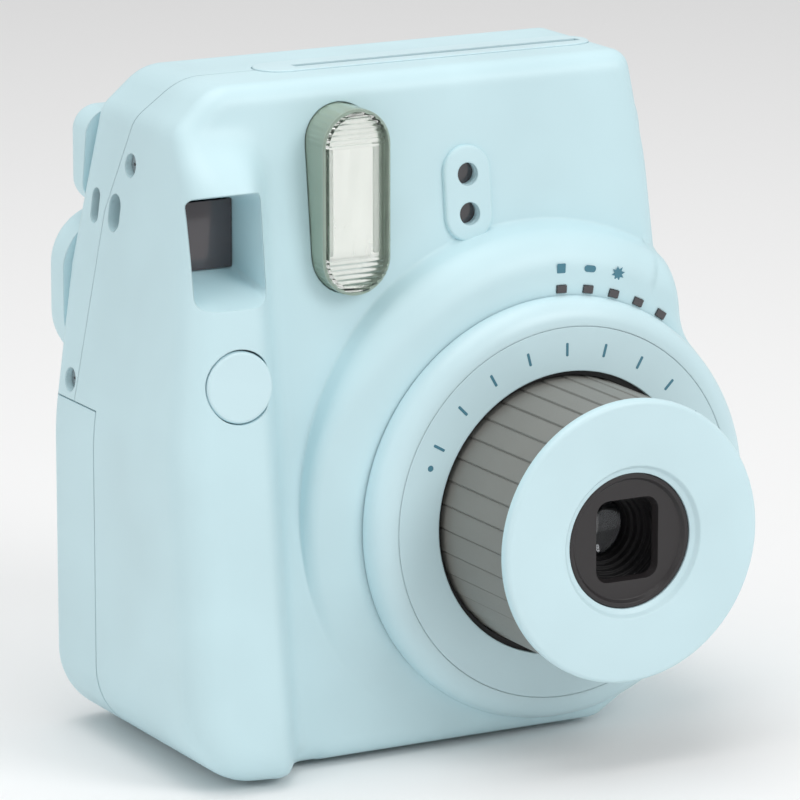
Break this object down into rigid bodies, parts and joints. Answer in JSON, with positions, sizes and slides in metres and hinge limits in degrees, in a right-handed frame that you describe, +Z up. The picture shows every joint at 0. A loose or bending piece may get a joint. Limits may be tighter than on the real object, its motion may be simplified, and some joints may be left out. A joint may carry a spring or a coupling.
{
  "type": "instant camera",
  "caption": "Instant camera with a pull-out lens barrel in a round exposure dial, upright flash, finder, grip with shutter button, hinged film door and print slot on top.",
  "frame": {"origin": "middle of the bottom of the whole camera's box, on the surface it stands on", "axes": "+Z up, the lens looks along -Y, +X to the right for someone facing the lens"},
  "size_m": [0.1133, 0.0856, 0.1187],
  "materials": {
    "shell": "pale blue, fine satin",
    "trim": "pale blue, smoother",
    "barrel": "grey, satin, ribbed",
    "bezel": "near black, satin",
    "black": "black, matt",
    "lens_glass": "coated, clear",
    "flash_clear": "clear, slightly green",
    "window_dark": "dark tinted window",
    "clear": "clear plastic",
    "mirror_metal": "bright, vacuum plated",
    "steel": "plain steel",
    "contact": "plated spring metal",
    "board": "green board",
    "rubber": "matt rubber",
    "gear": "natural white plastic",
    "can": "sleeved can",
    "cell": "plain wrapped cell",
    "lamp": "dark lamp window",
    "counter": "white, printed"
  },
  "bodies": {
    "camera_body": {"barrel_guide": "black", "battery_box": "black", "battery_cells": "cell", "battery_contacts": "contact", "button_switch": "black", "charge_lamp": "lamp", "dark_chamber": "black", "dial_face_ring": "trim", "drive_motor": "steel", "exposure_lamps": "lamp", "eyepiece_housing": "shell", "eyepiece_window": "window_dark", "feet": "shell", "film_exit_bezel": "trim", "film_frame": "black", "flash_board": "board", "flash_capacitor": "can", "flash_reflector": "mirror_metal", "flash_tube": "clear", "flash_window": "flash_clear", "front_cover": "shell", "hinge_pin": "steel", "housing_screws": "steel", "light_sensors": "lamp", "main_board": "board", "rear_cover": "shell", "roller_bracket": "steel", "viewfinder_tube": "black", "viewfinder_window": "window_dark"},
    "film_door": {"film_door": "shell", "counter_post": "black", "counter_window": "clear", "pack_window": "clear", "pack_springs": "steel"},
    "door_latch": {"door_latch": "trim"},
    "counter_wheel": {"counter_disc": "counter"},
    "battery_lid": {"battery_lid": "shell"},
    "exposure_dial": {"exposure_dial": "trim"},
    "lens_barrel": {"lens_barrel": "barrel", "lens_front_ring": "trim", "lens_bezel": "bezel", "lens_baffle": "black", "front_lens": "lens_glass", "rear_lens": "lens_glass", "shutter_housing": "black", "shutter_plate": "black"},
    "shutter_blade": {"shutter_blade": "black"},
    "aperture_disc": {"aperture_disc": "black"},
    "shutter_button": {"shutter_button": "trim"},
    "front_roller": {"front_roller": "rubber", "front_roller_shaft": "steel", "front_roller_gear": "gear"},
    "rear_roller": {"rear_roller": "rubber", "rear_roller_shaft": "steel", "rear_roller_gear": "gear"},
    "upper_idler_gear": {"upper_idler_gear": "gear"},
    "lower_idler_gear": {"lower_idler_gear": "gear"},
    "motor_pinion": {"motor_pinion": "gear"},
    "film_pick_arm": {"film_pick_arm": "steel"}
  },
  "joints": [
    {"name": "film_door_hinge", "type": "hinge", "parent": "camera_body", "child": "film_door", "pos_m": [0.04355, 0.03755, 0.0405], "axis": [0, 0, -1], "range_deg": [0, 105]},
    {"name": "door_latch_slide", "type": "slide", "parent": "film_door", "child": "door_latch", "axis": [0, 0, 1], "range_m": [0, 0.003], "stiffness_N_per_m": 200, "springref_m": -0.002},
    {"name": "counter_turn", "type": "hinge", "parent": "film_door", "child": "counter_wheel", "pos_m": [0.02735, 0.03735, 0.025], "axis": [0, 1, 0], "range_deg": [0, 330]},
    {"name": "battery_lid_slide", "type": "slide", "parent": "camera_body", "child": "battery_lid", "axis": [0, 0, -1], "range_m": [0, 0.005]},
    {"name": "dial_turn", "type": "hinge", "parent": "camera_body", "child": "exposure_dial", "pos_m": [0.01745, -0.01495, 0.041], "axis": [0, 1, 0], "range_deg": [-15.8, 15.8]},
    {"name": "lens_slide", "type": "slide", "parent": "camera_body", "child": "lens_barrel", "axis": [0, 1, 0], "range_m": [0, 0.0195]},
    {"name": "shutter_blade_swing", "type": "hinge", "parent": "lens_barrel", "child": "shutter_blade", "pos_m": [0.02845, -0.02205, 0.049], "axis": [0, -1, 0], "range_deg": [0, 40], "stiffness_Nm_per_rad": 0.0005, "springref_deg": -5.73},
    {"name": "aperture_turn", "type": "hinge", "parent": "lens_barrel", "child": "aperture_disc", "pos_m": [0.01745, -0.02125, 0.033], "axis": [0, 1, 0], "range_deg": [-79, 79]},
    {"name": "shutter_button_press", "type": "slide", "parent": "camera_body", "child": "shutter_button", "axis": [0, 0.9929, -0.1191], "range_m": [0, 0.0013], "stiffness_N_per_m": 500, "springref_m": -0.001},
    {"name": "rear_roller_spin", "type": "hinge", "parent": "camera_body", "child": "rear_roller", "pos_m": [0.00835, 0.01391, 0.1104], "axis": [1, 0, 0], "continuous": true},
    {"name": "front_roller_spin", "type": "hinge", "parent": "camera_body", "child": "front_roller", "pos_m": [0.00835, 0.00739, 0.1104], "axis": [1, 0, 0], "continuous": true},
    {"name": "upper_idler_spin", "type": "hinge", "parent": "camera_body", "child": "upper_idler_gear", "pos_m": [-0.02815, 0.01391, 0.09908], "axis": [1, 0, 0], "continuous": true},
    {"name": "lower_idler_spin", "type": "hinge", "parent": "camera_body", "child": "lower_idler_gear", "pos_m": [-0.02815, 0.01391, 0.08296], "axis": [1, 0, 0], "continuous": true},
    {"name": "motor_spin", "type": "hinge", "parent": "camera_body", "child": "motor_pinion", "pos_m": [-0.02815, 0.01391, 0.07324], "axis": [1, 0, 0], "continuous": true},
    {"name": "pick_arm_slide", "type": "slide", "parent": "camera_body", "child": "film_pick_arm", "axis": [0, 0, 1], "range_m": [0, 0.008]}
  ],
  "couplings": [
    {"joint": "front_roller_spin", "follows": "rear_roller_spin", "ratio": -1},
    {"joint": "upper_idler_spin", "follows": "rear_roller_spin", "ratio": -0.4},
    {"joint": "lower_idler_spin", "follows": "rear_roller_spin", "ratio": 0.4},
    {"joint": "motor_spin", "follows": "rear_roller_spin", "ratio": -2},
    {"joint": "aperture_turn", "follows": "dial_turn", "ratio": 5}
  ]
}
